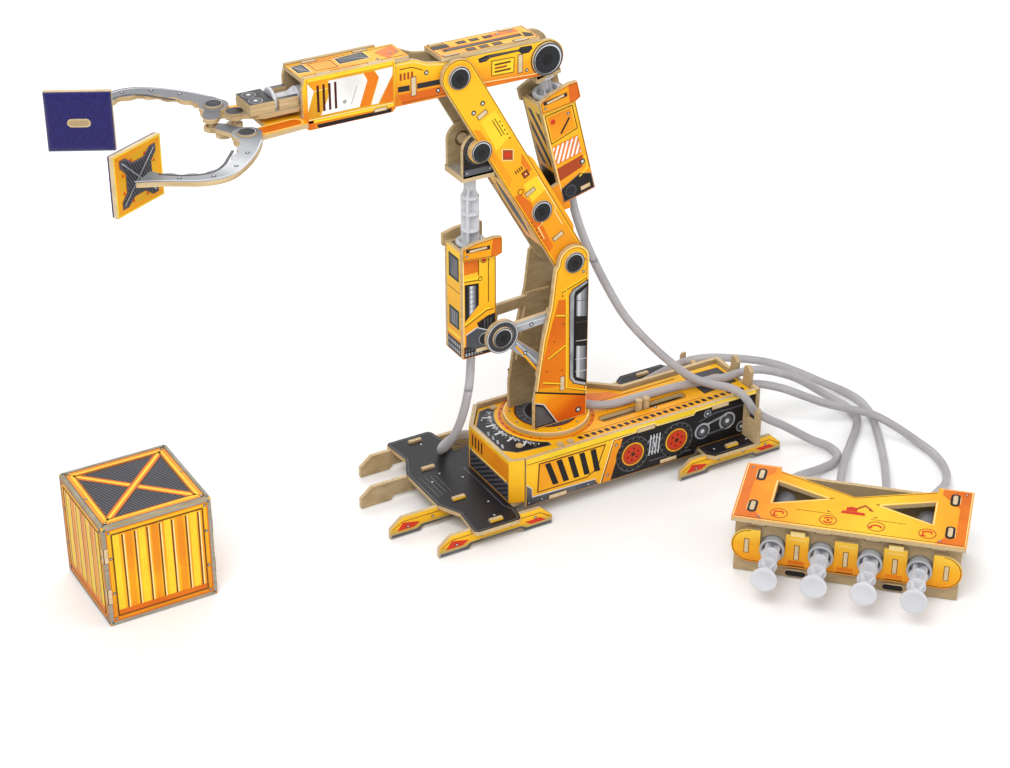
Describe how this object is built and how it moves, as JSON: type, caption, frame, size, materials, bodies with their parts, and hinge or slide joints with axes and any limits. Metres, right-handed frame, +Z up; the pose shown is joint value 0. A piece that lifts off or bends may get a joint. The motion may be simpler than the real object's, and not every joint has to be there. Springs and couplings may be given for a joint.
{
  "type": "hydraulic arm kit",
  "caption": "Desk-top gripper arm of slotted boards: slewing base, boom and forearm driven by syringes through water hoses from a separate control console, with a crate to lift.",
  "frame": {"origin": "middle of the bottom of the bounding box, hoses left out; the turntable axis stands at X 0.0587, Y 0.0883 m", "axes": "+X from the claws towards the rear of the base, +Y away from the console, +Z up"},
  "size_m": [0.4935, 0.3034, 0.2848],
  "materials": {
    "printed_board": "matt print on board",
    "black_board": "matt print on board",
    "bare_board": "bare board",
    "grey_board": "matt print on board",
    "syringe_plastic": "translucent plastic",
    "foam": "matt foam",
    "clear_hose": "smooth"
  },
  "bodies": {
    "base": {"chassis_plate": "black_board", "side_panel_near": "printed_board", "side_panel_far": "bare_board", "front_panel": "printed_board", "top_plate": "printed_board", "clip_plate": "bare_board", "rear_plate": "bare_board", "front_leg_near": "printed_board", "front_leg_far": "bare_board", "inner_leg_near": "printed_board", "inner_leg_far": "bare_board", "rear_leg_near": "printed_board", "rear_leg_far": "bare_board", "slew_barrel": "syringe_plastic", "console_top": "printed_board", "console_frame": "bare_board", "console_holder": "printed_board", "console_barrel_reach": "syringe_plastic", "console_barrel_grip": "syringe_plastic", "console_barrel_lift": "syringe_plastic", "console_barrel_slew": "syringe_plastic", "slew_hose": "clear_hose", "lift_hose": "clear_hose", "reach_hose": "clear_hose", "grip_hose": "clear_hose"},
    "slew_slider": {"slew_plunger": "bare_board"},
    "turntable": {"turntable_disc": "printed_board", "mast_near": "printed_board", "mast_far": "bare_board", "bracket_near": "grey_board", "bracket_far": "bare_board"},
    "lift_cylinder": {"lift_housing": "printed_board", "lift_barrel": "syringe_plastic"},
    "lift_rod": {"lift_plunger": "grey_board"},
    "boom": {"boom_near": "printed_board", "boom_far": "bare_board", "boom_web": "printed_board", "grip_hose_boom": "clear_hose"},
    "reach_cylinder": {"reach_housing": "printed_board", "reach_barrel": "syringe_plastic"},
    "reach_rod": {"reach_plunger": "grey_board"},
    "forearm": {"forearm_near": "printed_board", "forearm_far": "bare_board", "forearm_top": "printed_board", "hood": "printed_board", "grip_deck": "printed_board", "grip_barrel": "syringe_plastic"},
    "grip_carriage": {"grip_slider": "bare_board", "grip_plunger": "syringe_plastic"},
    "claw_near_arm": {"claw_near": "grey_board", "pad_near": "foam"},
    "claw_far_arm": {"claw_far": "grey_board", "pad_far": "foam"},
    "link_near_arm": {"link_near": "black_board"},
    "link_far_arm": {"link_far": "black_board"},
    "console_rod_reach": {"console_plunger_reach": "syringe_plastic"},
    "console_rod_grip": {"console_plunger_grip": "syringe_plastic"},
    "console_rod_lift": {"console_plunger_lift": "syringe_plastic"},
    "console_rod_slew": {"console_plunger_slew": "syringe_plastic"},
    "load_crate": {"crate": "printed_board"}
  },
  "joints": [
    {"name": "slew", "type": "hinge", "parent": "base", "child": "turntable", "pos_m": [0.05869, 0.08829, 0.039], "axis": [0, 0, 1], "range_deg": [-45, 45], "deforming": ["lift_hose", "reach_hose", "grip_hose"]},
    {"name": "slew_slide", "type": "slide", "parent": "base", "child": "slew_slider", "axis": [1, 0, 0], "range_m": [-0.0165, 0.0165]},
    {"name": "boom_lift", "type": "hinge", "parent": "turntable", "child": "boom", "pos_m": [0.06649, 0.08829, 0.1436], "axis": [0, -1, 0], "range_deg": [-8, 25], "deforming": ["lift_hose", "reach_hose", "grip_hose", "grip_hose_boom"]},
    {"name": "lift_tilt", "type": "hinge", "parent": "turntable", "child": "lift_cylinder", "pos_m": [0.02189, 0.08829, 0.1066], "axis": [0, -1, 0], "range_deg": [-6, 18], "deforming": ["lift_hose"]},
    {"name": "lift_stroke", "type": "slide", "parent": "lift_cylinder", "child": "lift_rod", "axis": [0, 0, 1], "range_m": [-0.023, 0.0075]},
    {"name": "forearm_reach", "type": "hinge", "parent": "boom", "child": "forearm", "pos_m": [-0.00391, 0.08829, 0.2676], "axis": [0, -1, 0], "range_deg": [-2, 20], "deforming": ["grip_hose_boom"]},
    {"name": "reach_tilt", "type": "hinge", "parent": "boom", "child": "reach_cylinder", "pos_m": [0.04669, 0.08829, 0.1788], "axis": [0, -1, 0], "range_deg": [-1.5, 0.5], "deforming": ["reach_hose"]},
    {"name": "reach_stroke", "type": "slide", "parent": "reach_cylinder", "child": "reach_rod", "axis": [-0.2453, 0, 0.9694], "range_m": [-0.0022, 0.02]},
    {"name": "grip_stroke", "type": "slide", "parent": "forearm", "child": "grip_carriage", "axis": [1, 0, 0], "range_m": [-0.002, 0.008]},
    {"name": "claw_near_turn", "type": "hinge", "parent": "forearm", "child": "claw_near_arm", "pos_m": [-0.12791, 0.06779, 0.265], "axis": [0, 0, 1], "range_deg": [-28.5, 8]},
    {"name": "claw_far_turn", "type": "hinge", "parent": "forearm", "child": "claw_far_arm", "pos_m": [-0.12791, 0.10879, 0.265], "axis": [0, 0, 1], "range_deg": [-8, 28.5]},
    {"name": "link_near_turn", "type": "hinge", "parent": "grip_carriage", "child": "link_near_arm", "pos_m": [-0.12531, 0.08829, 0.262], "axis": [0, 0, 1], "range_deg": [-10.5, 3.5]},
    {"name": "link_far_turn", "type": "hinge", "parent": "grip_carriage", "child": "link_far_arm", "pos_m": [-0.12531, 0.08829, 0.26], "axis": [0, 0, 1], "range_deg": [-3.5, 10.5]},
    {"name": "console_reach", "type": "slide", "parent": "base", "child": "console_rod_reach", "axis": [-0.6988, -0.7153, 0], "range_m": [-0.02, 0.0022]},
    {"name": "console_grip", "type": "slide", "parent": "base", "child": "console_rod_grip", "axis": [-0.6988, -0.7153, 0], "range_m": [-0.0022, 0.0082]},
    {"name": "console_lift", "type": "slide", "parent": "base", "child": "console_rod_lift", "axis": [-0.6988, -0.7153, 0], "range_m": [-0.0075, 0.023]},
    {"name": "console_slew", "type": "slide", "parent": "base", "child": "console_rod_slew", "axis": [-0.6988, -0.7153, 0], "range_m": [-0.0165, 0.0165]},
    {"name": "crate_lift_off", "type": "slide", "parent": "base", "child": "load_crate", "axis": [0, 0, 1], "range_m": [0, 0.05]}
  ],
  "couplings": [
    {"joint": "slew_slide", "follows": "slew", "m_per_rad": 0.0205},
    {"joint": "console_slew", "follows": "slew", "m_per_rad": 0.0205},
    {"joint": "lift_tilt", "follows": "boom_lift", "ratio": 0.7},
    {"joint": "lift_stroke", "follows": "boom_lift", "m_per_rad": -0.052},
    {"joint": "console_lift", "follows": "boom_lift", "m_per_rad": 0.052},
    {"joint": "reach_tilt", "follows": "forearm_reach", "ratio": -0.06},
    {"joint": "reach_stroke", "follows": "forearm_reach", "m_per_rad": 0.056},
    {"joint": "console_reach", "follows": "forearm_reach", "m_per_rad": -0.056},
    {"joint": "claw_near_turn", "follows": "grip_stroke", "rad_per_m": -60},
    {"joint": "claw_far_turn", "follows": "grip_stroke", "rad_per_m": 60},
    {"joint": "link_near_turn", "follows": "grip_stroke", "rad_per_m": -21},
    {"joint": "link_far_turn", "follows": "grip_stroke", "rad_per_m": 21},
    {"joint": "console_grip", "follows": "grip_stroke", "ratio": 1}
  ]
}
